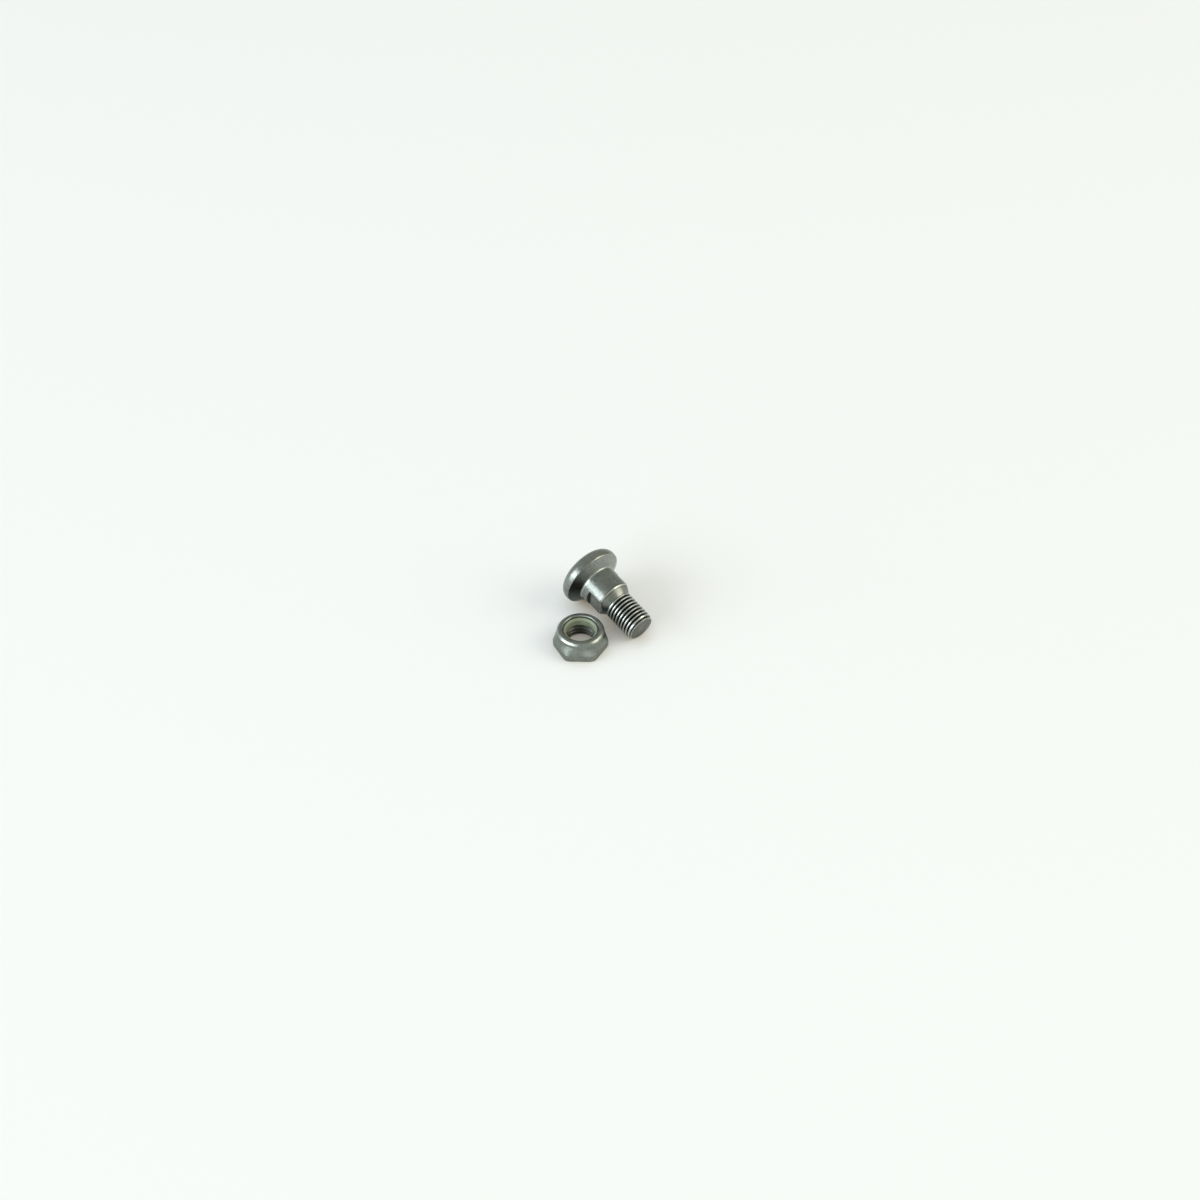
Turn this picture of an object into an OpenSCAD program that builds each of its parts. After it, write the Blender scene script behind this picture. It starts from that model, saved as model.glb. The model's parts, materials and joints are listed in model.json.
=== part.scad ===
// Pivot bolt with its lock nut, lying as they come to rest.
// A forged round head, a plain shoulder that a lever or link turns on, two flats
// on the shoulder, and a threaded end. The nut stands beside it, taken off.
// Sizes are in millimetres. The origin is on the surface that they lie on, under the
// middle of the pair. +Z is up and +X runs from the head to the threaded end.

/* [Head] */
// Diameter over the rim of the head
head_d = 25; // [22:0.5:30]
// Radius of the rounding from the rim to the crown
rim_top_r = 3.6; // [2:0.1:4]
// Radius of the rounding from the rim to the underside
rim_under_r = 5.5; // [4:0.1:7]
// Height of the rim's widest line above the start of the shoulder
rim_lift = 4.3; // [3.6:0.1:6]
// Height of the underside's outer edge above the start of the shoulder
cone_lift = 2.7; // [1.5:0.1:3.2]
// Radius of the shallow domed crown
crown_r = 60; // [40:1:120]

/* [Shoulder] */
// Diameter of the round shoulder
shoulder_d = 15.8; // [15:0.1:18]
// Length of the shoulder under the head
shoulder_l = 9.5; // [7:0.5:30]
// Fillet between the underside of the head and the shoulder
root_fillet = 0.6; // [0.3:0.1:1]
// Width across the two flats
flats_w = 13.2; // [12.6:0.1:14.5]
// Length of the full round ring that the flats leave under the head
ring_l = 3.2; // [0.8:0.1:5]
// Radius that the cutter leaves between that ring and a flat
flat_end_r = 0.8; // [0.3:0.1:1.2]
// Turn of the flats about the bolt, away from upright
flats_turn = 9; // [0:1:90]
// Radius of the rounding on the shoulder's lower edge
shoulder_round = 0.4; // [0.2:0.05:0.6]
// Length of the neck from the shoulder to the thread
neck_l = 3.1; // [2:0.1:5]
// Radius of the neck's hollow, along the bolt
neck_hollow_r = 25; // [15:1:60]

/* [Thread] */
// Outside diameter of the thread
thread_d = 12; // [10:0.5:14]
// Distance from one thread crest to the next
thread_pitch = 1.5; // [1:0.25:1.75]
// Flat sides that make up one turn of the thread
thread_sides = 40; // [24:4:60]
// Distance from the neck to the next crest, in line with the middle of a flat
thread_start = 0.83; // [0:0.01:1.75]
// Length from the neck to the end face
thread_l = 13.9; // [12:0.1:60]
// Diameter of the flat at the end
end_flat_d = 10.4; // [8:0.1:11.5]
// Length of the chamfer at the end
end_chamfer = 1.2; // [0.5:0.1:2]

/* [Lock nut] */
// Width across the flats of the nut
nut_af = 19; // [17:0.1:21]
// Diameter over the rounded corners of the nut
nut_corner_d = 21.3; // [20:0.1:24]
// Height of the nut
nut_h = 8.7; // [8:0.1:14]
// Height of the sharp corner edges, up to the turned cone
corner_h = 2.6; // [2:0.1:4]
// Height of the upright faces, up to where they lean in
face_h = 3.2; // [2:0.1:4.5]
// Lean of the faces above that height, from upright
face_lean = 8; // [4:1:12]
// Height where the turned cone ends on the collar
waist_z = 5.7; // [5:0.1:6.5]
// Bottom chamfer at the corners
foot_chamfer = 0.35; // [0.2:0.05:0.6]
// Diameter of the collar round the ring
collar_d = 18.3; // [16.5:0.1:19]
// How far the collar draws in below its rolled edge
collar_waist = 0.15; // [0.05:0.05:0.4]
// Radius of the collar's rolled-over edge
roll_r = 1.5; // [1.2:0.1:1.8]
// Diameter of the opening in the rolled edge
lip_d = 13.7; // [13:0.1:14.5]
// Thickness of the rolled edge over the ring
lip_t = 0.7; // [0.4:0.05:1]

/* [Nylon ring] */
// Outside diameter of the ring, and of its seat in the collar
ring_d = 15.3; // [14.8:0.1:16]
// Bore of the ring before the bolt cuts into it
ring_bore = 11.2; // [10.6:0.1:11.6]
// Height of the ring
ring_h = 3; // [2:0.1:4]
// Rounding of the ring's upper inner edge
ring_round = 0.9; // [0.3:0.1:1.2]

/* [How they lie] */
// Distance of the nut's centre from the start of the shoulder, along the bolt
nut_along = 13; // [8:0.1:40]
// Distance of the nut's centre from the bolt's centre line, to the side
nut_aside = 19.5; // [18.5:0.1:60]
// Turn of the nut about its own axis
nut_turn = 48; // [0:1:60]

/* [Hidden] */
$fn = 96;
slack = 0.01;

// Depth from crest to root in the nut, five eighths of a sharp sixty degree thread
thread_depth = 0.5413 * thread_pitch;
nut_bore = thread_d - 2 * thread_depth;

// Depth from crest to root on the bolt, and the crest's flat, an eighth of the pitch
bolt_thread_depth = 0.6134 * thread_pitch;
crest_l = thread_pitch / 8;
flank_l = bolt_thread_depth * tan(30);

head_r = head_d / 2;
shoulder_r = shoulder_d / 2;
thread_r = thread_d / 2;
neck_z = shoulder_l + neck_l;
end_z = neck_z + thread_l;

// The neck is turned hollow on one arc, from the shoulder's corner to half the thread's depth
neck_r = thread_r - bolt_thread_depth / 2;
neck_run = [neck_r - shoulder_r, neck_l];
neck_half = norm(neck_run) / 2;
neck_away = [neck_run[1], -neck_run[0]] / (2 * neck_half);
neck_c = [shoulder_r, shoulder_l] + neck_run / 2
    + neck_away * sqrt(pow(neck_hollow_r, 2) - pow(neck_half, 2));

// Rounding of the shoulder's lower edge, which touches both the shoulder and that arc, and
// a point past its edge towards the arc's centre
edge_c_r = shoulder_r - shoulder_round;
edge_c = [
    edge_c_r,
    neck_c[1] - sqrt(pow(neck_hollow_r + shoulder_round, 2) - pow(neck_c[0] - edge_c_r, 2)),
];
edge_out = edge_c + (neck_c - edge_c) * 2 * shoulder_round / (neck_hollow_r + shoulder_round);

// The crown's arc meets the rim's rounding without a corner, at crown_edge
rim_top_c = head_r - rim_top_r;
crown_c = sqrt(pow(crown_r - rim_top_r, 2) - pow(rim_top_c, 2)) - rim_lift;
crown_edge = rim_top_c * crown_r / (crown_r - rim_top_r);
head_top = crown_r - crown_c;

// Outer edge of the underside, on the rim's lower rounding
rim_under_c = head_r - rim_under_r;
cone_r = rim_under_c + sqrt(pow(rim_under_r, 2) - pow(rim_lift - cone_lift, 2));

// Centre of the fillet that touches both the underside cone and the shoulder
cone_slope = atan2(cone_lift, cone_r - shoulder_r);
fillet_r = shoulder_r + root_fillet;
fillet_z = root_fillet * tan((90 - cone_slope) / 2);

// The bolt lies on its rim and on the last full turn of the thread, so the line
// of the floor touches the rim's lower rounding and passes through that corner
rest_z = end_z - end_chamfer;
rest_run = rest_z + rim_lift;
rest_drop = rim_under_c - thread_r;
tilt = atan2(rest_drop, rest_run) + asin(rim_under_r / sqrt(pow(rest_run, 2) + pow(rest_drop, 2)));
shoulder_up = rest_z * sin(tilt) + thread_r * cos(tilt);

// How far the lying bolt reaches past the start of its shoulder, at the head and the end
crown_turn = asin(crown_edge / crown_r);
head_reach = tilt > crown_turn
    ? rim_lift * cos(tilt) + rim_top_c * sin(tilt) + rim_top_r
    : crown_r - crown_c * cos(tilt);
end_reach = end_z * cos(tilt) + end_flat_d / 2 * sin(tilt);

// How far the nut reaches from its centre in one direction, over its rounded corners
corner_turn = acos(nut_af / nut_corner_d);
function nut_reach(turn) =
    let (off_flat = abs((turn + 360 - nut_turn) % 60 - 30))
    nut_corner_d / 2 * cos(max(0, corner_turn - off_flat));

// Middle of the pair, measured from the start of the shoulder
middle_x = (max(end_reach, nut_along + nut_reach(0)) + min(-head_reach, nut_along - nut_reach(180))) / 2;
middle_y = (head_r - nut_aside - nut_reach(270)) / 2;

// The nylon ring lies between its seat in the nut and the rolled edge
ring_top = nut_h - lip_t;
ring_seat = ring_top - ring_h;
roll_c = collar_d / 2 - roll_r;
waist_r = collar_d / 2 - collar_waist;

// The upper half of the head, from the crown down to the rim's widest line
module head_crown_outline() {
    intersection() {
        translate([0, crown_c]) circle(r = crown_r, $fn = 240);
        translate([0, -head_top]) square([crown_edge, head_top - rim_lift]);
    }
    intersection() {
        translate([rim_top_c, -rim_lift]) circle(r = rim_top_r);
        translate([0, -head_top]) square([head_r + slack, head_top - rim_lift]);
    }
}

// The lower half of the rim and the conical underside
module head_under_outline() {
    intersection() {
        translate([rim_under_c, -rim_lift]) circle(r = rim_under_r);
        translate([0, -rim_lift]) square([head_r + slack, rim_lift - cone_lift]);
    }
    polygon([[0, -rim_lift], [rim_under_c, -rim_lift], [cone_r, -cone_lift], [shoulder_r, 0], [0, 0]]);
}

// The hollow corner under the head, filled out to its fillet
module fillet_outline() {
    difference() {
        polygon([
            [shoulder_r - slack, fillet_z],
            [shoulder_r - slack, -slack],
            [shoulder_r, 0],
            [shoulder_r + fillet_z * cos(cone_slope), -fillet_z * sin(cone_slope)],
            [fillet_r, fillet_z],
        ]);
        translate([fillet_r, fillet_z]) circle(r = root_fillet);
    }
}

// Rounded lower edge of the shoulder, before the neck is cut
module edge_outline() {
    intersection() {
        translate(edge_c) circle(r = shoulder_round);
        translate([0, edge_c[1]]) square([shoulder_r + slack, 2 * shoulder_round]);
    }
}

// Shoulder with its rounded lower edge, and the hollow neck between it and the thread
module shank_outline() {
    translate([0, -slack]) square([shoulder_r, edge_c[1] + slack]);
    difference() {
        union() {
            edge_outline();
            polygon([[0, edge_c[1]], edge_c, edge_out, [edge_out[0], neck_z], [0, neck_z]]);
        }
        translate(neck_c) circle(r = neck_hollow_r + slack, $fn = 240);
    }
}

// Right-hand helical thread, longer than the bolt's at both ends. Each turn is a strip of
// four rows: both edges of the crest and both edges of the root.
module endless_thread() {
    rows_per_turn = 4;
    row_z = [0, crest_l, crest_l + flank_l, thread_pitch - flank_l];
    row_r = [thread_r, thread_r, thread_r - bolt_thread_depth, thread_r - bolt_thread_depth];
    turns = ceil(thread_l / thread_pitch) + 3;
    last = rows_per_turn * turns;
    foot_z = neck_z + thread_start - 2 * thread_pitch;
    points = [
        for (row = [0:last], side = [0:thread_sides - 1])
        let (
            angle = 360 * side / thread_sides,
            r = row_r[row % rows_per_turn],
            turn = floor(row / rows_per_turn) + side / thread_sides
        )
        [r * cos(angle), r * sin(angle), foot_z + row_z[row % rows_per_turn] + turn * thread_pitch]
    ];
    function at(row, side) =
        side < thread_sides ? row * thread_sides + side : (row + rows_per_turn) * thread_sides;
    foot = len(points);
    tip = foot + 1;
    walls = [
        for (row = [0:last - 1], side = [0:thread_sides - 1])
        if (side < thread_sides - 1 || row < last - rows_per_turn)
        each [
            [at(row, side), at(row + 1, side), at(row + 1, side + 1)],
            [at(row, side), at(row + 1, side + 1), at(row, side + 1)],
        ]
    ];
    foot_ring = [
        for (side = [0:thread_sides]) at(0, side),
        for (row = [rows_per_turn - 1:-1:0]) at(row, 0),
    ];
    tip_ring = [
        for (side = [0:thread_sides - 1]) at(last, side),
        for (row = [1:rows_per_turn]) at(last - row, thread_sides - 1),
        at(last, 0),
    ];
    polyhedron(
        points = concat(points, [
            [0, 0, foot_z - thread_pitch],
            [0, 0, foot_z + (turns + 2) * thread_pitch],
        ]),
        faces = concat(
            walls,
            [for (i = [0:len(foot_ring) - 2]) [foot, foot_ring[i], foot_ring[i + 1]]],
            [for (i = [0:len(tip_ring) - 2]) [tip, tip_ring[i + 1], tip_ring[i]]]
        )
    );
}

// Outside of the threaded length, with its chamfered end, that starts inside the neck
module thread_outline() {
    polygon([
        [0, neck_z - thread_pitch],
        [thread_r + slack, neck_z - thread_pitch],
        [thread_r + slack, rest_z - slack],
        [end_flat_d / 2, end_z],
        [0, end_z],
    ]);
}

// The bolt's thread, which runs out in the neck and at the chamfered end
module thread() {
    intersection() {
        endless_thread();
        rotate_extrude() thread_outline();
    }
}

// What is cut away beside one flat, from the ring under the head to the neck
module flat_cut() {
    cut_l = neck_z - ring_l;
    rotate([90, 0, 0])
    linear_extrude(height = 2 * shoulder_r, center = true)
    translate([flats_w / 2, ring_l]) {
        translate([flat_end_r, 0]) square([shoulder_r, cut_l]);
        translate([0, flat_end_r]) square([shoulder_r, cut_l - flat_end_r]);
        translate([flat_end_r, flat_end_r]) circle(r = flat_end_r);
    }
}

// The blank that the thread is rolled on: head, shoulder with its two flats, and neck
module blank() {
    difference() {
        rotate_extrude() {
            head_crown_outline();
            head_under_outline();
            fillet_outline();
            shank_outline();
        }
        flat_cut();
        mirror([1, 0, 0]) flat_cut();
    }
}

// The bolt, forged and turned from one piece of steel
module bolt() {
    color([0.36, 0.38, 0.37])
    translate([-middle_x, -middle_y, shoulder_up])
    rotate([0, 90 + tilt, 0])
    rotate([0, 0, 90 + flats_turn]) {
        blank();
        thread();
    }
}

// Turned outline that rounds the corners of the hexagon and cones them off
module hexagon_turning() {
    corner_r = nut_corner_d / 2;
    polygon([
        [0, 0],
        [corner_r - foot_chamfer, 0],
        [corner_r, foot_chamfer],
        [corner_r, corner_h],
        [waist_r, waist_z],
        [0, waist_z],
    ]);
}

// What is cut off one face of the hexagon, above the height where it leans in
module lean_cut() {
    translate([nut_af / 2, 0, face_h])
        rotate([0, -face_lean, 0])
        translate([0, -nut_af, -face_h])
        cube([nut_af, 2 * nut_af, face_h + nut_h]);
}

// Hexagon with turned corners, whose faces stand upright and then lean in to the collar
module hexagon_block() {
    difference() {
        intersection() {
            cylinder(d = nut_af / cos(30), h = waist_z, $fn = 6);
            rotate_extrude() hexagon_turning();
        }
        for (turn = [30:60:330]) rotate([0, 0, turn]) lean_cut();
    }
}

// Collar with its edge rolled in over the ring
module collar_outline() {
    translate([roll_c, nut_h - roll_r]) circle(r = roll_r);
    translate([0, corner_h]) square([waist_r, nut_h - roll_r - corner_h]);
    translate([0, corner_h]) square([roll_c, nut_h - corner_h]);
}

// Places a piece of the nut where the nut stands beside the bolt
module nut_place() {
    translate([nut_along - middle_x, -nut_aside - middle_y, 0])
        rotate([0, 0, nut_turn])
        children();
}

// The lock nut, cold formed, with the collar that holds the ring
module lock_nut() {
    color([0.47, 0.50, 0.48])
    nut_place()
    difference() {
        union() {
            hexagon_block();
            rotate_extrude() collar_outline();
        }
        translate([0, 0, -slack]) cylinder(d = nut_bore, h = nut_h + 2 * slack);
        translate([0, 0, -slack])
            cylinder(d1 = thread_d + 2 * slack, d2 = nut_bore, h = thread_depth);
        translate([0, 0, ring_seat]) cylinder(d = ring_d, h = ring_h);
        translate([0, 0, ring_seat]) cylinder(d = lip_d, h = nut_h);
    }
}

// The nylon ring that the bolt's thread cuts into, pressed into the collar
module nylon_ring() {
    color([0.52, 0.56, 0.43])
    nut_place()
    translate([0, 0, ring_seat])
    rotate_extrude()
    difference() {
        translate([ring_bore / 2, 0]) square([(ring_d - ring_bore) / 2, ring_h]);
        difference() {
            translate([ring_bore / 2 - slack, ring_h - ring_round])
                square([ring_round + slack, ring_round + slack]);
            translate([ring_bore / 2 + ring_round, ring_h - ring_round]) circle(r = ring_round);
        }
    }
}

bolt();
lock_nut();
nylon_ring();
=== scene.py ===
import json
import math

import bmesh
import bpy
from mathutils import Matrix, Vector


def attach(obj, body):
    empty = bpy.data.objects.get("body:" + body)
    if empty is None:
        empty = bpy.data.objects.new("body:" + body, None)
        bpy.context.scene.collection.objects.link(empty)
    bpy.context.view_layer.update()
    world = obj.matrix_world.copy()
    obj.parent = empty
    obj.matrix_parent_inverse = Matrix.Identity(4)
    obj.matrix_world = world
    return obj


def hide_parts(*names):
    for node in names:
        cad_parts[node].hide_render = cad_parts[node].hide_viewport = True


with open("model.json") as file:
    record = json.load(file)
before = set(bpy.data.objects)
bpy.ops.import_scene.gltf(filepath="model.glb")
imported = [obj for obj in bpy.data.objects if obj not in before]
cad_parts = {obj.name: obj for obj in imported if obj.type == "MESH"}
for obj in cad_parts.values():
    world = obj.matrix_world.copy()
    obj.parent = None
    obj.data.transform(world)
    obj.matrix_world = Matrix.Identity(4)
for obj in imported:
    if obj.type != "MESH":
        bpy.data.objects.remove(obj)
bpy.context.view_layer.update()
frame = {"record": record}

mounts = {mount["name"]: mount for mount in frame["record"]["mounts"]}
MM = 0.001

# The camera stands about 0.8 m away and looks down on the pair from the threaded side,
# at the photograph's angle, with the nut in front of the bolt.
camera_turn = math.radians(49.3)
camera_height = math.radians(43.5)
camera_distance = 0.784
shoulder_start = Vector(mounts["head_seat"]["pos_m"])
camera_aim = Vector((shoulder_start.x - 0.9 * MM, shoulder_start.y + 2.25 * MM, 0.0))
camera_back = Vector((
    math.cos(camera_height) * math.sin(camera_turn),
    -math.cos(camera_height) * math.cos(camera_turn),
    math.sin(camera_height),
))
camera_data = bpy.data.cameras.new("camera")
camera_data.lens = 60.0
camera_data.sensor_width = 36.0
camera_data.clip_start = 0.01
camera = bpy.data.objects.new("camera", camera_data)
camera.location = camera_aim + camera_back * camera_distance
camera.rotation_euler = camera_back.to_track_quat("Z", "Y").to_euler()
bpy.context.scene.collection.objects.link(camera)
bpy.context.scene.camera = camera

# The floor is a pale matt sheet that fills the photograph's view; low views also show its far
# edge. It takes the soft shadows of the bolt and the nut, a little lighter to the camera, and a
# painted contact shade darkens and warms its colour where the bolt and nut hide it closely.
floor_size = 12.0
floor_colour = (0.915, 0.920, 0.935)
painted_contact_shade_colour = (0.72, 0.69, 0.63)
painted_deep_shade_colour = (0.30, 0.22, 0.13)
floor_glow = 0.28
painted_shade_reach = 0.008
painted_deep_shade_place = 0.10
painted_contact_shade_place = 0.36
open_place = 0.90
floor_mesh = bpy.data.meshes.new("floor")
floor_mesh.from_pydata(
    [(x * floor_size / 2, y * floor_size / 2, 0.0) for x, y in ((-1, -1), (1, -1), (1, 1), (-1, 1))],
    [],
    [(0, 1, 2, 3)],
)
floor = bpy.data.objects.new("floor", floor_mesh)
bpy.context.scene.collection.objects.link(floor)
floor_paint = bpy.data.materials.new("matt_white_sheet")
floor_paint.use_nodes = True
floor_shader = floor_paint.node_tree.nodes["Principled BSDF"]
floor_shader.inputs["Roughness"].default_value = 0.9
floor_shader.inputs["Specular IOR Level"].default_value = 0.1
floor_nodes, floor_links = floor_paint.node_tree.nodes, floor_paint.node_tree.links
# painted contact shade: ambient occlusion darkens and warms the floor's colour where the bolt and nut
# are close
contact = floor_nodes.new("ShaderNodeAmbientOcclusion")
contact.samples = 12
contact.inputs["Distance"].default_value = painted_shade_reach
painted_shade_tones = floor_nodes.new("ShaderNodeValToRGB")
painted_shade_tones.color_ramp.elements[0].position = painted_deep_shade_place
painted_shade_tones.color_ramp.elements[0].color = (*painted_deep_shade_colour, 1.0)
painted_shade_tones.color_ramp.elements[1].position = open_place
painted_shade_tones.color_ramp.elements[1].color = (*floor_colour, 1.0)
painted_shade_tones.color_ramp.elements.new(painted_contact_shade_place).color = (*painted_contact_shade_colour, 1.0)
floor_links.new(contact.outputs["AO"], painted_shade_tones.inputs["Fac"])
floor_links.new(painted_shade_tones.outputs["Color"], floor_shader.inputs["Base Color"])
glow = floor_nodes.new("ShaderNodeEmission")
floor_links.new(painted_shade_tones.outputs["Color"], glow.inputs["Color"])
to_camera = floor_nodes.new("ShaderNodeLightPath")
glow_share = floor_nodes.new("ShaderNodeMath")
glow_share.operation = "MULTIPLY"
floor_links.new(to_camera.outputs["Is Camera Ray"], glow_share.inputs[0])
glow_share.inputs[1].default_value = floor_glow
sheet = floor_nodes.new("ShaderNodeMixShader")
floor_links.new(glow_share.outputs["Value"], sheet.inputs["Fac"])
floor_links.new(floor_shader.outputs["BSDF"], sheet.inputs[1])
floor_links.new(glow.outputs["Emission"], sheet.inputs[2])
floor_links.new(sheet.outputs["Shader"], floor_nodes["Material Output"].inputs["Surface"])
floor_mesh.materials.append(floor_paint)

# Soft studio light: a large cool window low at the left of the camera, a smaller warm one a
# little higher at the right, and a room that is cool at the left and beige at the right. The
# room shows as nearly white behind the floor.
camera_right = Vector((math.cos(camera_turn), math.sin(camera_turn), 0.0))
room_level = 0.53
room_left_colour = (0.88, 1.00, 1.00)
room_right_colour = (1.10, 1.10, 0.89)
backdrop_colour = (0.90, 0.92, 0.89)
room = bpy.data.worlds.new("studio_room")
bpy.context.scene.world = room
room.use_nodes = True
nodes, links = room.node_tree.nodes, room.node_tree.links
look = nodes.new("ShaderNodeTexCoord")
sideways = nodes.new("ShaderNodeVectorMath")
sideways.operation = "DOT_PRODUCT"
sideways.inputs[1].default_value = camera_right
links.new(look.outputs["Generated"], sideways.inputs[0])
room_tones = nodes.new("ShaderNodeValToRGB")
room_tones.color_ramp.elements[0].color = (*[room_level * c for c in room_left_colour], 1.0)
room_tones.color_ramp.elements[1].color = (*[room_level * c for c in room_right_colour], 1.0)
share = nodes.new("ShaderNodeMapRange")
share.inputs["From Min"].default_value = -1.0
links.new(sideways.outputs["Value"], share.inputs["Value"])
links.new(share.outputs["Result"], room_tones.inputs["Fac"])
links.new(room_tones.outputs["Color"], nodes["Background"].inputs["Color"])
backdrop = nodes.new("ShaderNodeBackground")
backdrop.inputs["Color"].default_value = (*backdrop_colour, 1.0)
seen = nodes.new("ShaderNodeLightPath")
either = nodes.new("ShaderNodeMixShader")
links.new(seen.outputs["Is Camera Ray"], either.inputs["Fac"])
links.new(nodes["Background"].outputs["Background"], either.inputs[1])
links.new(backdrop.outputs["Background"], either.inputs[2])
links.new(either.outputs["Shader"], nodes["World Output"].inputs["Surface"])


def soft_light(name, turn, height, distance, width, tall, brightness, colour):
    """A soft light, turned so many degrees from the camera's left towards the camera."""
    side = camera_turn - math.pi + math.radians(turn)
    lift = math.radians(height)
    towards = Vector((math.cos(lift) * math.cos(side), math.cos(lift) * math.sin(side), math.sin(lift)))
    data = bpy.data.lights.new(name, "AREA")
    data.shape = "RECTANGLE"
    data.size = width
    data.size_y = tall
    data.energy = brightness * math.pi * width * tall
    data.color = colour
    light = bpy.data.objects.new(name, data)
    light.location = towards * distance
    light.rotation_euler = towards.to_track_quat("Z", "Y").to_euler()
    bpy.context.scene.collection.objects.link(light)


soft_light("left_window", 32, 20, 4.0, 5.0, 2.3, 5.0, (0.90, 0.97, 1.0))
soft_light("right_window", 173, 32, 4.0, 2.9, 2.7, 3.1, (1.0, 0.95, 0.82))

# The bolt is forged from one piece of steel, then turned on its shoulder and neck, milled
# with two flats, and rolled with a right-hand thread. A dark satin coat covers all of it.
head_r = 12.5
crown_r = 60.0
rim_top_r = 3.6
rim_under_r = 5.5
rim_lift = 4.3
cone_lift = 2.7
shoulder_r = mounts["pivot_shoulder"]["dims"]["r_mm"]
shoulder_l = mounts["pivot_shoulder"]["dims"]["length_mm"]
shoulder_round = 0.4
flats_half = 6.6
ring_l = 3.2
flat_end_r = 0.8
neck_l = 3.1
neck_hollow_r = 25.0
neck_steps = 12
thread_r = mounts["bolt_thread"]["dims"]["r_mm"]
thread_full_l = mounts["bolt_thread"]["dims"]["length_mm"]
thread_pitch = 1.5
thread_depth = 0.6134 * thread_pitch
thread_start = 0.83
neck_r = thread_r - thread_depth / 2
end_chamfer = 1.2
end_flat_r = 5.2
end_round = 0.15
neck_z = shoulder_l + neck_l
rest_z = neck_z + thread_full_l
end_z = rest_z + end_chamfer


def arc(centre_r, centre_z, radius, start, stop, steps):
    """Points of a round stretch of an outline; 0 degrees points down the z axis, 90 outwards."""
    points = []
    for i in range(steps + 1):
        turn = math.radians(start + (stop - start) * i / steps)
        points.append((centre_r + radius * math.sin(turn), centre_z - radius * math.cos(turn)))
    return points


def rounded(corners, steps=6):
    """An outline through corners of (radius, height, rounding), with each corner rounded."""
    points = []
    for i, (r, z, rounding) in enumerate(corners):
        if rounding == 0 or i in (0, len(corners) - 1):
            points.append((r, z))
            continue
        here = Vector((r, z))
        back = (Vector(corners[i - 1][:2]) - here).normalized()
        ahead = (Vector(corners[i + 1][:2]) - here).normalized()
        half = back.angle(ahead) / 2
        centre = here + (back + ahead).normalized() * rounding / math.sin(half)
        first = here + back * rounding / math.tan(half) - centre
        last = here + ahead * rounding / math.tan(half) - centre
        swing = first.angle_signed(last)
        for k in range(steps + 1):
            point = centre + Matrix.Rotation(-swing * k / steps, 2) @ first
            points.append((point.x, point.y))
    return points


def soft_min(a, b, width):
    """The smaller of two sizes, with the corner between them rounded over this width."""
    return min(a, b) - max(width - abs(a - b), 0.0) ** 2 / (4 * width)


def clamp(share):
    """The nearest number from 0 to 1."""
    return max(0.0, min(1.0, share))


def split(points, longest):
    """The same outline with more points, so that no stretch is longer than this."""
    out = [points[0]]
    for a, b in zip(points, points[1:]):
        count = max(1, math.ceil(math.dist(a, b) / longest))
        for k in range(1, count + 1):
            out.append((a[0] + (b[0] - a[0]) * k / count, a[1] + (b[1] - a[1]) * k / count))
    return out


# columns of the bolt's mesh stand closer together over its flats and their edges
bolt_turns = []
for side in (0, 180):
    bolt_turns += [side - 42 + 1.2 * i for i in range(70)]
    bolt_turns += [side + 42 + 2.4 * i for i in range(40)]
bolt_turns = [math.radians(turn) for turn in bolt_turns]
bolt_columns = len(bolt_turns)

crown_turn = math.degrees(math.asin((head_r - rim_top_r) / (crown_r - rim_top_r)))
crown_z = (crown_r - rim_top_r) * math.cos(math.radians(crown_turn)) - rim_lift
under_turn = math.degrees(math.asin((rim_lift - cone_lift) / rim_under_r))
head_outline = arc(0, crown_z, crown_r, 0.25, crown_turn, 14)
head_outline += arc(head_r - rim_top_r, -rim_lift, rim_top_r, crown_turn, 90, 18)[1:]
head_outline += arc(head_r - rim_under_r, -rim_lift, rim_under_r, 90, 90 + under_turn - 1.5, 6)[1:]
cone_edge_r = head_r - rim_under_r + rim_under_r * math.cos(math.radians(under_turn))
ring_outline = rounded([
    (cone_edge_r, -cone_lift, 0), (shoulder_r, 0, 0.6), (shoulder_r, ring_l, 0),
])
ring_outline[0] = (cone_edge_r - 0.12, -cone_lift + 0.06)

# the neck is hollow on one arc from the shoulder's corner, and the shoulder's edge is
# rounded into it
neck_start, neck_end = Vector((shoulder_r, shoulder_l)), Vector((neck_r, neck_z))
neck_half = (neck_end - neck_start).length / 2
neck_away = Vector((neck_end.y - neck_start.y, neck_start.x - neck_end.x)).normalized()
neck_centre = (neck_start + neck_end) / 2 + neck_away * math.sqrt(neck_hollow_r ** 2 - neck_half ** 2)
edge_centre = Vector((shoulder_r - shoulder_round, 0.0))
edge_away = neck_centre.x - edge_centre.x
edge_centre.y = neck_centre.y - math.sqrt((neck_hollow_r + shoulder_round) ** 2 - edge_away ** 2)
edge_swing = math.degrees(math.atan2(neck_centre.y - edge_centre.y, edge_away))
neck_outline = [(shoulder_r, ring_l)]
neck_outline += arc(edge_centre.x, edge_centre.y, shoulder_round, 90, 90 + edge_swing, 5)
neck_back = edge_centre - neck_centre
neck_swing = neck_back.angle_signed(neck_end - neck_centre)
for i in range(1, neck_steps + 1):
    towards = Matrix.Rotation(-neck_swing * i / neck_steps, 2) @ neck_back.normalized()
    point = neck_centre + towards * neck_hollow_r
    neck_outline.append((point.x, point.y))

bolt_mesh = bmesh.new()
# this layer lightens the coat where edges are rubbed and where painted highlights and painted light are
# laid on
wear_and_highlight_layer = bolt_mesh.verts.layers.float.new("worn")
# this layer is painted shade: it darkens the thread's roots, the slit, lines beside the shoulder's
# edge, one side of the cone and the end face
painted_shade_layer = bolt_mesh.verts.layers.float.new("sooty")


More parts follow.
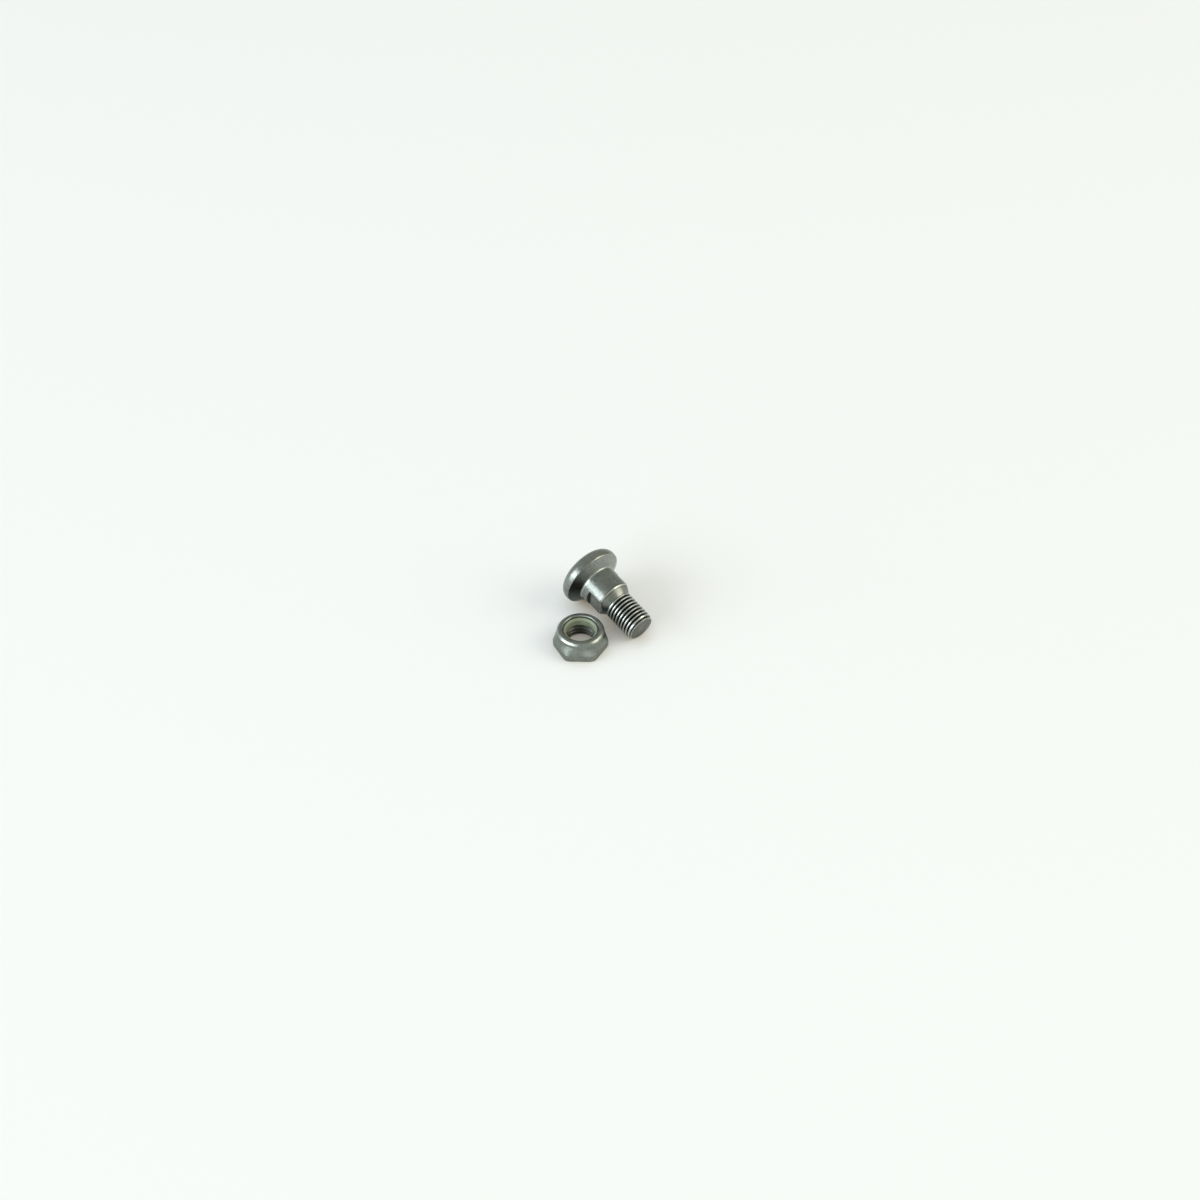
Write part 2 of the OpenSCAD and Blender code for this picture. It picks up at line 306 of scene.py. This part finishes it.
def bolt_row(radius_at, z_at, worn=0.0, sooty=0.0):
    row = []
    for turn in bolt_turns:
        r, z = radius_at(turn), z_at(turn)
        vertex = bolt_mesh.verts.new((r * math.cos(turn) * MM, r * math.sin(turn) * MM, z * MM))
        vertex[wear_and_highlight_layer] = worn(turn) if callable(worn) else worn
        vertex[painted_shade_layer] = sooty(turn) if callable(sooty) else sooty
        row.append(vertex)
    return row


def flat_r(turn, z):
    """Distance from the axis of what the cutter left of the nearer flat, in this direction."""
    across = abs(math.cos(turn))
    past = z - ring_l
    if across < 0.1 or past <= 0:
        return 10 * head_r
    scoop = 0.0
    if past < flat_end_r:
        scoop = flat_end_r - math.sqrt(max(0.0, flat_end_r ** 2 - (flat_end_r - past) ** 2))
    return (flats_half + scoop) / across


def join_rows(mesh, row_a, row_b):
    count = len(row_a)
    for j in range(count):
        mesh.faces.new([row_a[j], row_a[(j + 1) % count], row_b[(j + 1) % count], row_b[j]])


def join_helix(mesh, rows, rows_a_turn):
    """Joins the rows of a thread; a row's last column meets the first one a turn further on."""
    columns = len(rows[0])
    for i in range(len(rows) - 1):
        ahead = i + rows_a_turn
        for j in range(columns):
            if j + 1 < columns:
                mesh.faces.new([rows[i][j], rows[i][j + 1], rows[i + 1][j + 1], rows[i + 1][j]])
            elif ahead + 1 < len(rows):
                mesh.faces.new([rows[i][j], rows[ahead][0], rows[ahead + 1][0], rows[i + 1][j]])


# the coat is rubbed on the rim; a painted highlight lies in the fillet and a rubbed, painted
# bright line on the cone's edge; on the cone, painted light lightens one side and painted shade
# darkens the other
rows = []
for r, z in head_outline + split(ring_outline, 0.3):
    on_rim = max(0.0, 1.0 - abs(z + rim_lift + 1.2) / 2.2) if r > head_r - 2.5 else 0.0
    fillet_highlight = max(0.0, 1.0 - abs(math.dist((r, z), (shoulder_r + 0.15, 0.1))) / 0.45)
    cone_edge_highlight = max(0.0, 1.0 - math.dist((r, z), (cone_edge_r, -cone_lift)) / 0.3)
    under = z > -cone_lift and r > shoulder_r + 0.3

    def shaded(turn, under=under):
        return 0.8 * clamp((math.cos(turn) - 0.1) / 0.8) if under else 0.0

    def wear_and_highlight_at(turn, least=max(0.12 * on_rim, 0.8 * fillet_highlight, 0.25 * cone_edge_highlight), under=under):
        return max(least, 0.30 * clamp(0.1 - math.cos(turn)) if under else 0.0)

    rows.append(bolt_row(
        lambda turn, r=r: r,
        lambda turn, z=z: z,
        wear_and_highlight_at,
        shaded,
    ))
# a painted highlight runs along the shoulder's end edge with painted shade lines either side, and
# painted shade fills the corner where the flats start
for r, z in split(neck_outline, 0.16):
    shoulder_edge_highlight = max(0.0, 1.0 - abs(z - shoulder_l - 0.22) / 0.30)

    def slit_shade(turn, z=z):
        corner_shade = 0.0
        if flat_r(turn, z) < shoulder_r:
            corner_shade = clamp(1.8 - abs(z - ring_l - 0.4) / 0.35)
        shade_lines = max(0.0, 1.0 - min(abs(z - shoulder_l + 0.15), abs(z - shoulder_l - 0.70)) / 0.22)
        return max(corner_shade, 0.55 * shade_lines)

    rows.append(bolt_row(
        lambda turn, r=r, z=z: soft_min(r, flat_r(turn, z), 0.14),
        lambda turn, z=z: z,
        0.9 * shoulder_edge_highlight,
        slit_shade,
    ))
for row_a, row_b in zip(rows, rows[1:]):
    join_rows(bolt_mesh, row_a, row_b)
crown_tip = bolt_mesh.verts.new((0, 0, (crown_z - crown_r) * MM))
for j in range(bolt_columns):
    bolt_mesh.faces.new([rows[0][(j + 1) % bolt_columns], rows[0][j], crown_tip])

# one turn of the thread's outline: place along the pitch, and depth under the crest
thread_form = (
    (0.000, 1.00), (0.050, 0.985), (0.095, 0.92), (0.150, 0.76), (0.215, 0.54), (0.280, 0.32),
    (0.335, 0.16), (0.385, 0.06), (0.435, 0.01), (0.565, 0.01), (0.615, 0.06), (0.665, 0.16),
    (0.720, 0.32), (0.785, 0.54), (0.850, 0.76), (0.905, 0.92), (0.950, 0.985),
)
crest_run_in = 0.3 * thread_pitch
root_run_in = 1.3 * thread_pitch
first_root = 0.25
long_chamfer = 2.1
crest_centre = neck_z + thread_start + thread_pitch / 16


def thread_surface(z, depth):
    """Radius of the thread where its full form has this depth: it runs in behind the neck
    and runs out over the chamfer."""
    crest_share = clamp((z - neck_z) / crest_run_in)
    root_share = clamp((z - neck_z) / root_run_in)
    cut_share = min(crest_share, first_root + (1 - first_root) * root_share)
    r = neck_r + (thread_r - neck_r) * crest_share - depth * thread_depth * cut_share
    past = max(0.0, z - end_z + long_chamfer)
    return min(r, thread_r - past * (thread_r - end_flat_r) / long_chamfer)


form_count = len(thread_form)
turns_needed = math.ceil((end_z - neck_z) / thread_pitch) + 3
thread_rows = []
for i in range(turns_needed * form_count + 1):
    place, depth = thread_form[i % form_count]
    start = crest_centre + (i // form_count + place - 2.5) * thread_pitch

    def z_at(turn, start=start):
        return min(end_z - end_round, max(neck_z, start + turn / math.tau * thread_pitch))

    # crests are lighter, partly rubbed and partly a painted highlight, and the chamfered end gets a
    # painted highlight
    def wear_and_highlight_at(turn, z_at=z_at, depth=depth):
        if z_at(turn) >= end_z - end_round:
            return 0.5
        return max(0.0, 1.0 - 3.2 * depth) * min(1.0, (z_at(turn) - neck_z) / 0.3)

    # painted shade darkens the roots
    def shaded(turn, z_at=z_at, depth=depth):
        fade = min(1.0, (z_at(turn) - neck_z) / 0.6, (end_z - end_round - z_at(turn)) / 0.3)
        return clamp((depth - 0.30) / 0.45) * fade

    thread_rows.append(bolt_row(
        lambda turn, z_at=z_at, depth=depth: thread_surface(z_at(turn), depth),
        z_at,
        wear_and_highlight_at,
        shaded,
    ))
join_helix(bolt_mesh, thread_rows, form_count)
end_r = thread_surface(end_z - end_round, 0.0)
end_outline = [(end_r, end_z - end_round)]
end_outline += arc(end_r - 0.32, end_z - 0.2, 0.2, 120, 180, 4)
end_outline.append((0.4 * end_r, end_z))
end_rows = []
# a painted highlight on the end's chamfer and painted shade on the end face
for r, z in end_outline:
    on_face = z > end_z - 0.02
    end_rows.append(bolt_row(
        lambda turn, r=r: r,
        lambda turn, z=z: z,
        0.0 if on_face else 0.5,
        0.4 if on_face else 0.0,
    ))
for row_a, row_b in zip(end_rows, end_rows[1:]):
    join_rows(bolt_mesh, row_a, row_b)
end_tip = bolt_mesh.verts.new((0, 0, end_z * MM))
for j in range(bolt_columns):
    bolt_mesh.faces.new([end_rows[-1][j], end_rows[-1][(j + 1) % bolt_columns], end_tip])


def finish_mesh(mesh, name, place, paint, sharp_degrees):
    """Closes a built mesh up, smooths it and stands it where the frame says."""
    bmesh.ops.remove_doubles(mesh, verts=mesh.verts, dist=0.002 * MM)
    bmesh.ops.dissolve_degenerate(mesh, dist=0.001 * MM, edges=mesh.edges)
    bmesh.ops.recalc_face_normals(mesh, faces=mesh.faces)
    data = bpy.data.meshes.new(name)
    mesh.to_mesh(data)
    mesh.free()
    data.transform(place)
    for face in data.polygons:
        face.use_smooth = True
    data.set_sharp_from_angle(angle=math.radians(sharp_degrees))
    data.materials.append(paint)
    piece = bpy.data.objects.new(name, data)
    bpy.context.scene.collection.objects.link(piece)
    return piece


def new_paint(name):
    paint = bpy.data.materials.new(name)
    paint.use_nodes = True
    return paint, paint.node_tree.nodes, paint.node_tree.links, paint.node_tree.nodes["Principled BSDF"]


def noise(nodes, links, source, scale, detail, roughness=0.5):
    """Cloudy noise in the piece's own space, at so many lumps a metre."""
    texture = nodes.new("ShaderNodeTexNoise")
    texture.inputs["Scale"].default_value = scale
    texture.inputs["Detail"].default_value = detail
    texture.inputs["Roughness"].default_value = roughness
    links.new(source, texture.inputs["Vector"])
    return texture.outputs["Fac"]


def spread(nodes, links, source, low, high, to_low, to_high):
    """Stretches the middle of a noise to a wanted range."""
    band = nodes.new("ShaderNodeMapRange")
    band.inputs["From Min"].default_value = low
    band.inputs["From Max"].default_value = high
    band.inputs["To Min"].default_value = to_low
    band.inputs["To Max"].default_value = to_high
    links.new(source, band.inputs["Value"])
    return band.outputs["Result"]


def blend_colours(nodes, links, share, colour_a, colour_b):
    mix = nodes.new("ShaderNodeMix")
    mix.data_type = "RGBA"
    for socket, colour in (("A", colour_a), ("B", colour_b)):
        slot = [s for s in mix.inputs if s.name == socket and s.type == "RGBA"][0]
        if isinstance(colour, tuple):
            slot.default_value = (*colour, 1.0)
        else:
            links.new(colour, slot)
    links.new(share, mix.inputs["Factor"])
    return [s for s in mix.outputs if s.type == "RGBA"][0]


def grain(nodes, links, shader, source, scale, strength, depth):
    """Fine bumps under the coat, from cloudy noise."""
    bump = nodes.new("ShaderNodeBump")
    bump.inputs["Strength"].default_value = strength
    bump.inputs["Distance"].default_value = depth
    links.new(noise(nodes, links, source, scale, 3.0), bump.inputs["Height"])
    links.new(bump.outputs["Normal"], shader.inputs["Normal"])


# dark satin steel: cloudy, with fine dark specks, lighter where edges are rubbed and where
# painted highlights lie, and darkened by painted shade, nearly black in the thread's roots
bolt_paint, nodes, links, shader = new_paint("dark_satin_steel")
space = nodes.new("ShaderNodeTexCoord").outputs["Object"]
clouds = spread(nodes, links, noise(nodes, links, space, 300, 4.0), 0.35, 0.65, 0.0, 1.0)
steel = blend_colours(nodes, links, clouds, (0.195, 0.213, 0.202), (0.262, 0.272, 0.250))
speckle = spread(nodes, links, noise(nodes, links, space, 2200, 3.0), 0.50, 0.70, 0.0, 0.65)
steel = blend_colours(nodes, links, speckle, steel, (0.120, 0.127, 0.118))
# lighter where rubbed and where painted highlights are laid on
wear_and_highlight_node = nodes.new("ShaderNodeAttribute")
wear_and_highlight_node.attribute_name = "worn"
wear_and_highlight_share = spread(nodes, links, wear_and_highlight_node.outputs["Fac"], 0.0, 1.0, 0.0, 0.8)
steel = blend_colours(nodes, links, wear_and_highlight_share, steel, (0.66, 0.68, 0.66))
# painted shade, near black at full strength
painted_shade_node = nodes.new("ShaderNodeAttribute")
painted_shade_node.attribute_name = "sooty"
steel = blend_colours(nodes, links, painted_shade_node.outputs["Fac"], steel, (0.018, 0.020, 0.019))
links.new(steel, shader.inputs["Base Color"])
links.new(spread(nodes, links, noise(nodes, links, space, 900, 4.0), 0.3, 0.7, 0.25, 0.40),
          shader.inputs["Roughness"])
shader.inputs["Metallic"].default_value = 1.0
grain(nodes, links, shader, space, 900, 0.45, 0.00013)

bolt_axis = Vector(mounts["bolt_thread"]["axis"])
flat_axis = Vector(mounts["shoulder_flat"]["axis"])
bolt_place = Matrix((flat_axis, bolt_axis.cross(flat_axis), bolt_axis)).transposed().to_4x4()
bolt_place.translation = Vector(mounts["head_seat"]["pos_m"])
bolt = finish_mesh(bolt_mesh, "threaded_bolt", bolt_place, bolt_paint, 50)
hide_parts("bolt")
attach(bolt, "root")

# The lock nut is cold formed from steel: a hexagon whose corners are turned to a cone, a
# tapped thread, and a collar whose edge is rolled in over the ring. It is dull zinc plated.
nut_af = 19.0
nut_corner_r = 10.65
nut_h = 8.7
corner_h = 2.6
face_h = 3.2
face_lean = math.radians(8)
lean_blend = 0.2
corner_soft = 0.55
nut_turn = math.radians(48)
waist_z = 6.5
foot_chamfer = 0.35
foot_round = 0.25
collar_r = 9.15
waist_r = 9.05
roll_r = 1.5
roll_facet_turn = math.radians(38)
roll_facet_half = math.radians(19)
roll_facet_ease = 0.8
crimp_corners = 0.11
crimp_sides = 0.04
crimp_uneven = 0.04
lip_r = 6.85
lip_t = 0.7
ring_r = 7.65
ring_h = 3.0
nut_thread_r = mounts["nut_thread"]["dims"]["r_mm"]
nut_thread_depth = 0.5413 * thread_pitch
nut_top_r = nut_thread_r + 0.9
ring_seat = nut_h - lip_t - ring_h
roll_c = collar_r - roll_r
roll_z = nut_h - roll_r
nut_turns = [math.radians(1.5 * i) for i in range(240)]


def hexagon_r(turn, z):
    """Distance of the hexagon's side from the axis; a corner points along 0 degrees."""
    off_face = (turn % (math.pi / 3)) - math.pi / 6
    lean = z - face_h
    if z < face_h + lean_blend:
        lean = max(0.0, z - face_h + lean_blend) ** 2 / (4 * lean_blend)
    return (nut_af / 2 - lean * math.tan(face_lean)) / math.cos(off_face)


def turned_r(z):
    """Radius of the turned outline of the hexagon at this height."""
    r = nut_corner_r - max(0.0, foot_chamfer - z)
    if z > corner_h:
        r = nut_corner_r - (z - corner_h) * (nut_corner_r - waist_r) / (waist_z - corner_h)
    return r


def outer_r(turn, z):
    r = soft_min(hexagon_r(turn, z), min(nut_corner_r, turned_r(z)), corner_soft)
    if z < foot_round:
        r -= foot_round - math.sqrt(foot_round ** 2 - (foot_round - z) ** 2)
    return max(r, waist_r)


nut_mesh = bmesh.new()
painted_nut_shade_layer = nut_mesh.verts.layers.float.new("oily")
# this layer lightens the plating with painted highlights, partly rubbed
nut_wear_and_highlight_layer = nut_mesh.verts.layers.float.new("worn")
# painted shade in the nut is strongest on one side and weakest on the other
shade_side = math.radians(150)
shade_least = 0.15


def nut_row(radius_at, z_at, oily=0.0, worn=0.0):
    row = []
    for turn in nut_turns:
        r, z = radius_at(turn), z_at(turn)
        vertex = nut_mesh.verts.new((r * math.cos(turn) * MM, r * math.sin(turn) * MM, z * MM))
        near = clamp((math.cos(turn - shade_side) + 0.35) / 0.8)
        vertex[painted_nut_shade_layer] = oily * (shade_least + (1 - shade_least) * near)
        vertex[nut_wear_and_highlight_layer] = worn(turn) if callable(worn) else worn
        row.append(vertex)
    return row


def crimp(turn):
    """How far the rolled edge strays from round: it widens towards the hexagon's corners."""
    even = crimp_corners * math.cos(6 * turn) + crimp_sides * math.cos(12 * turn)
    return even + crimp_uneven * math.sin(5 * turn + 0.6)


mouth_r = nut_thread_r + nut_thread_depth
nut_rows = []
for share in (0.0, 0.3, 0.6, 0.85, 1.0):
    nut_rows.append(nut_row(
        lambda turn, share=share: mouth_r + (outer_r(turn, 0.0) - mouth_r) * share,
        lambda turn: 0.0,
    ))
for i in range(5):
    z = foot_round * (1 - math.cos(math.pi / 2 * i / 4))
    nut_rows.append(nut_row(lambda turn, z=z: outer_r(turn, z), lambda turn, z=z: z))
# a painted highlight on the leaning band above the faces, strongest near the corners and turned a
# little to one side
for i in range(1, 41):
    z = foot_round + (waist_z - foot_round) * i / 40
    lean_highlight = clamp(min((z - 2.8) / 0.3, (waist_z - 0.3 - z) / 1.6))
    nut_rows.append(nut_row(
        lambda turn, z=z: outer_r(turn, z),
        lambda turn, z=z: z,
        0.0,
        lambda turn, lean_highlight=lean_highlight: lean_highlight * (0.08 + 0.45 * math.cos(3 * (turn + 0.16)) ** 4),
    ))
bulge_turn = math.degrees(math.acos((collar_r - waist_r - roll_r) / -roll_r))
lip_turn = math.degrees(math.asin((roll_c - lip_r) / roll_r))
# a painted highlight on the roll's flattened band, a bright line at the lip's inner edge that is partly
# rubbed and partly painted highlight, and a thin painted dark line on the roll's top near the lip
for r, z in arc(roll_c, roll_z, roll_r, 90 - bulge_turn, 180 + lip_turn - 4, 36):
    off = math.atan2(z - roll_z, r - roll_c) - roll_facet_turn
    flattened = 1.0
    if abs(off) < roll_facet_half:
        flattened = (math.cos(roll_facet_half) / math.cos(off)) ** roll_facet_ease
    r, z = roll_c + (r - roll_c) * flattened, roll_z + (z - roll_z) * flattened
    inner = clamp((collar_r - 0.1 - r) / (collar_r - 0.1 - lip_r))
    nut_rows.append(nut_row(
        lambda turn, r=r, inner=inner: r + inner * crimp(turn),
        lambda turn, z=z: z,
        0.4 * max(0.0, 1.0 - abs(inner - 0.72) / 0.16),
        max(0.50 if flattened < 1.0 else 0.12, (inner - 0.85) / 0.15),
    ))
lip_edge_z = roll_z + roll_r * math.cos(math.radians(lip_turn)) - 0.12
nut_rows.append(nut_row(lambda turn: lip_r + crimp(turn), lambda turn: lip_edge_z, 0.0, 1.0))
nut_rows.append(nut_row(lambda turn: lip_r + crimp(turn), lambda turn: nut_h - lip_t))
for r, z in [(ring_r, nut_h - lip_t), (ring_r, ring_seat), (nut_top_r, ring_seat)]:
    nut_rows.append(nut_row(lambda turn, r=r: r, lambda turn, z=z: z))
for row_a, row_b in zip(nut_rows, nut_rows[1:]):
    join_rows(nut_mesh, row_a, row_b)

# the tapped hole: its crests stand at the bore's radius, and both ends are countersunk
nut_form = (
    (0.0, 0.0), (0.125, 0.0), (0.16, 0.06), (0.44, 0.93), (0.47, 1.0), (0.53, 1.0), (0.56, 0.93),
    (0.84, 0.06), (0.875, 0.0),
)


def tapped_r(z, depth):
    r = nut_thread_r + depth * nut_thread_depth
    r = max(r, mouth_r - z)
    return max(r, nut_top_r - (ring_seat - z) * 1.6)


nut_form_count = len(nut_form)
tapped_rows = []
for i in range((math.ceil(ring_seat / thread_pitch) + 1) * nut_form_count + 1):
    place, depth = nut_form[i % nut_form_count]
    start = -thread_pitch + (i // nut_form_count + place) * thread_pitch

    def z_at(turn, start=start):
        return min(ring_seat, max(0.0, start + turn / math.tau * thread_pitch))

    # painted shade darkens the tapped hole almost all over
    tapped_rows.append(nut_row(
        lambda turn, z_at=z_at, depth=depth: tapped_r(z_at(turn), depth),
        z_at,
        0.85 + 0.15 * depth,
    ))
join_helix(nut_mesh, tapped_rows, nut_form_count)

# dull plating: nearly the bolt's colour, with larger clouds, lighter where painted highlights
# lie, partly rubbed, and a nearly black brown painted shade in the bore and on a thin line of the
# roll that takes its metal away
nut_paint, nodes, links, shader = new_paint("dull_plated_steel")
space = nodes.new("ShaderNodeTexCoord").outputs["Object"]
clouds = spread(nodes, links, noise(nodes, links, space, 220, 4.0), 0.35, 0.65, 0.0, 1.0)
plating = blend_colours(nodes, links, clouds, (0.190, 0.207, 0.193), (0.254, 0.273, 0.252))
speckle = spread(nodes, links, noise(nodes, links, space, 1500, 4.0), 0.48, 0.70, 0.0, 0.7)
plating = blend_colours(nodes, links, speckle, plating, (0.110, 0.122, 0.110))
# painted shade: nearly black brown in the bore and along a thin line on the roll
bore = nodes.new("ShaderNodeAttribute")
bore.attribute_name = "oily"
plating = blend_colours(nodes, links, bore.outputs["Fac"], plating, (0.022, 0.018, 0.012))
wear_and_highlight_node = nodes.new("ShaderNodeAttribute")
wear_and_highlight_node.attribute_name = "worn"
wear_and_highlight_share = spread(nodes, links, wear_and_highlight_node.outputs["Fac"], 0.0, 1.0, 0.0, 0.6)
plating = blend_colours(nodes, links, wear_and_highlight_share, plating, (0.55, 0.58, 0.56))
links.new(plating, shader.inputs["Base Color"])
links.new(spread(nodes, links, noise(nodes, links, space, 500, 4.0), 0.3, 0.7, 0.26, 0.40),
          shader.inputs["Roughness"])
links.new(spread(nodes, links, bore.outputs["Fac"], 0.3, 0.9, 0.95, 0.0), shader.inputs["Metallic"])
grain(nodes, links, shader, space, 800, 0.5, 0.00014)

nut_spot = mounts["nut_thread"]["pos_m"]
nut_place = Matrix.Translation((nut_spot[0], nut_spot[1], 0.0)) @ Matrix.Rotation(nut_turn, 4, "Z")
nut = finish_mesh(nut_mesh, "lock_nut_body", nut_place, nut_paint, 50)
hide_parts("lock_nut")
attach(nut, "root")

# The ring is moulded from olive nylon, shown opaque here, and the collar's rolled edge holds
# it down on its seat. Its upper inner edge is round where the bolt would come out.
ring_bore_r = 5.6
ring_round = 0.9
ring_clear = 0.01
ring_mesh = bmesh.new()
painted_lip_shade_layer = ring_mesh.verts.layers.float.new("grimy")
ring_outline = rounded([
    (ring_bore_r, 0.0, 0), (ring_r - ring_clear, 0.0, 0), (ring_r - ring_clear, ring_h, 0),
    (ring_bore_r, ring_h, ring_round), (ring_bore_r, 0.0, 0),
], 10)
ring_rows = []
for r, z in split(ring_outline, 0.25)[:-1]:
    row = []
    for turn in nut_turns[::2]:
        x, y = r * math.cos(turn), r * math.sin(turn)
        vertex = ring_mesh.verts.new((x * MM, y * MM, (ring_seat + z) * MM))
        # painted shade darkens the ring towards its outer edge, under the rolled lip
        vertex[painted_lip_shade_layer] = clamp((r - ring_bore_r - 0.55) / 0.4)
        row.append(vertex)
    ring_rows.append(row)
for row_a, row_b in zip(ring_rows, ring_rows[1:] + ring_rows[:1]):
    join_rows(ring_mesh, row_a, row_b)

ring_paint, nodes, links, shader = new_paint("olive_nylon")
space = nodes.new("ShaderNodeTexCoord").outputs["Object"]
clouds = spread(nodes, links, noise(nodes, links, space, 300, 3.0), 0.35, 0.65, 0.0, 1.0)
olive = blend_colours(nodes, links, clouds, (0.212, 0.245, 0.165), (0.280, 0.312, 0.230))
# painted shade, near black, under the lip
painted_lip_shade_node = nodes.new("ShaderNodeAttribute")
painted_lip_shade_node.attribute_name = "grimy"
olive = blend_colours(nodes, links, painted_lip_shade_node.outputs["Fac"], olive, (0.030, 0.035, 0.025))
links.new(olive, shader.inputs["Base Color"])
links.new(spread(nodes, links, noise(nodes, links, space, 900, 3.0), 0.3, 0.7, 0.36, 0.52),
          shader.inputs["Roughness"])
grain(nodes, links, shader, space, 1500, 0.25, 0.00004)
nylon = finish_mesh(ring_mesh, "nylon_lock_ring", nut_place, ring_paint, 40)
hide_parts("nylon_ring")
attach(nylon, "root")

bpy.context.scene.view_settings.view_transform = "Standard"
bpy.context.view_layer.update()
